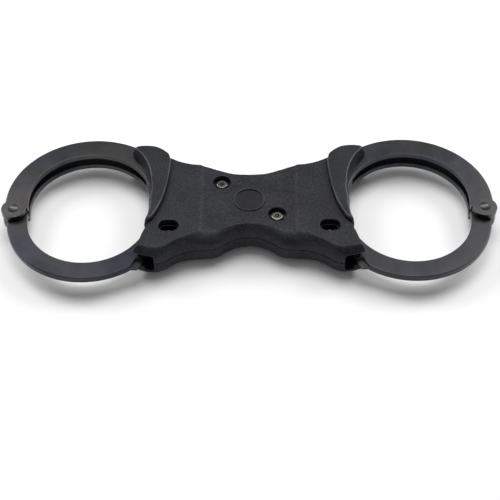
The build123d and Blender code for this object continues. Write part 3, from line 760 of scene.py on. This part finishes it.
WINDOW_LINE = [(-48.2, -34.0), (-43.6, -34.0), (-43.6, -19.5), (-47.8, -19.5)]
WINDOW_CORNER = 1.3
BADGE = (0.0, 2.4)
BADGE_R = 7.3


def flipped(outline):
    """The mirror image of an outline across the middle, its direction kept anticlockwise."""
    return [(-x, y) for x, y in outline][::-1]


def upright(low, high):
    """Rows of a plain wall between two heights."""
    return [(low, 0.0), (high, 0.0)]


def arched(low, high, side):
    """Rows of a window whose outer corners are a quarter circle: (h - r(1 - sin t), -r(1 - cos t))."""
    turn = np.linspace(0, math.pi / 2, 7)
    inset = [-WINDOW_CORNER * (1 - math.cos(t)) for t in turn]
    reach = [WINDOW_CORNER * (1 - math.sin(t)) for t in turn]
    if side > 0:
        return [(low, 0.0)] + [(high - back, amount) for back, amount in zip(reach, inset)]
    return [(low + back, amount) for back, amount in zip(reach[::-1], inset[::-1])] + [(high, 0.0)]


def rooms(side):
    """The pockets, the arm slots and the mouths, which both shells share."""
    near, far = sorted((-side * OVERLAP, side * CASE_FACE))
    slot = sorted((-side * OVERLAP, side * SLOT_HALF))
    sill = (near, far) if side > 0 else (-SILL_FACE, OVERLAP)
    x, y, r = CHEEK_POCKET
    arc = circle_line(x, y, r, 240)
    arc = arc[arc[:, 1] >= y].tolist() + [(x - r, -1.0), (x + r, -1.0)]
    straight = [(arc, (near, far)), (CASE_LINE[::-1], (near, far)), (MOUTH_LINE, sill)]
    shapes = [(outline, upright(*levels)) for outline, levels in straight]
    shapes.append((WINDOW_LINE, arched(near, far, side)))
    plain = []
    for outline, rows in shapes:
        for turned in (outline, flipped(outline)):
            plain.append(prism("room", turned, rows))
    for pivot_x in (PIVOT_X, -PIVOT_X):
        plain.append(prism("swept", circle_line(pivot_x, 0.0, SWEPT_R, 480), upright(*slot)))
    plain.append(prism("core", CORE_LINE, upright(*slot)))
    return plain


print("rooms per shell", len(rooms(1)))

# %% [markdown]
# ## The two shells of the grip
# Both halves are the same in plan. The upper one has a wide, soft front shoulder with a
# faint edge where it meets the top, the screw wells, the badge seat and the key slots. The
# lower one has an upright front that rounds under, more so where the fingers go.

# %% Shells
UPPER = {
    "shoulder": lambda x: 2.5 + 3.5 * bell(x, 20, 11.5) + 1.5 * bell(x, 44, 9),
    "wall": lambda x: 1.5 + 0 * x,
    "share": 0.65,
    "middle": 7.2,
    "outer": 8.0,
    "side_wall": 6.2,
    "side_round": 1.3,
    "hood": 10.5,
    "hood_wall": 1.0,
    "rim": 4.9,
}
LOWER = dict(
    UPPER,
    shoulder=lambda x: 1.9 + 3.1 * bell(x, 36, 10),
    wall=lambda x: 5.3 - 2.3 * bell(x, 36, 10),
    share=1.0,
    side_wall=6.6,
)
WELL_R = 4.25
WELL_SEAT = 4.3
SCREW_HOLE_R = 1.55
KEY_LENGTH, KEY_WIDTH = 9.3, 6.6
KEY_FLOOR = 2.2
BADGE_FLOOR = 5.9
INSERT_R = 2.65
INSERT_DEPTH = 6.3
WEAR_AND_HIGHLIGHT_GAIN = 1.6
SMOOTH_BELOW = math.radians(34)


def finish_piece(piece, material, body, node_name):
    """Smooth faces with sharp edges kept, one material, and the body and node that the piece stands for."""
    mesh = piece.data
    mesh.polygons.foreach_set("use_smooth", np.ones(len(mesh.polygons), bool))
    mesh.set_sharp_from_angle(angle=SMOOTH_BELOW)
    mesh.materials.clear()
    mesh.materials.append(material)
    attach(piece, body)
    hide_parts(node_name)


def open_tops():
    """The wells, screw holes, key slots and badge seat of the upper shell."""
    well = flare(WELL_SEAT, UPPER["middle"], 0.3)
    hole = upright(-OVERLAP, WELL_SEAT + OVERLAP)
    key = flare(KEY_FLOOR, UPPER["outer"], 0.5)
    seat = flare(BADGE_FLOOR, UPPER["middle"], 0.25)
    made = [prism("well", circle_line(x, y, WELL_R), well) for x, y in SCREWS]
    made += [prism("hole", circle_line(x, y, SCREW_HOLE_R), hole) for x, y in SCREWS]
    made += [prism("key", slot_line(x, y, KEY_LENGTH, KEY_WIDTH), key) for x, y in KEY_SLOTS]
    return made + [prism("seat", circle_line(*BADGE, BADGE_R + 0.1), seat)]


def insert_seats():
    """The blind seats of the threaded inserts in the lower shell."""
    rows = upright(-INSERT_DEPTH, OVERLAP)
    return [prism("seat", circle_line(x, y, INSERT_R), rows) for x, y in SCREWS]


for name, node_name, form, side, extra in (
    ("grip_top", "grip_upper_shell", UPPER, 1, open_tops),
    ("grip_base", "grip_lower_shell", LOWER, -1, insert_seats),
):
    shell = bpy.data.objects.new(name, whole_shell(name, form, side))
    cut(shell, rooms(side) + extra())
    wear_and_highlight_of(shell.data, WEAR_AND_HIGHLIGHT_GAIN)
    finish_piece(shell, nylon, "frame", node_name)
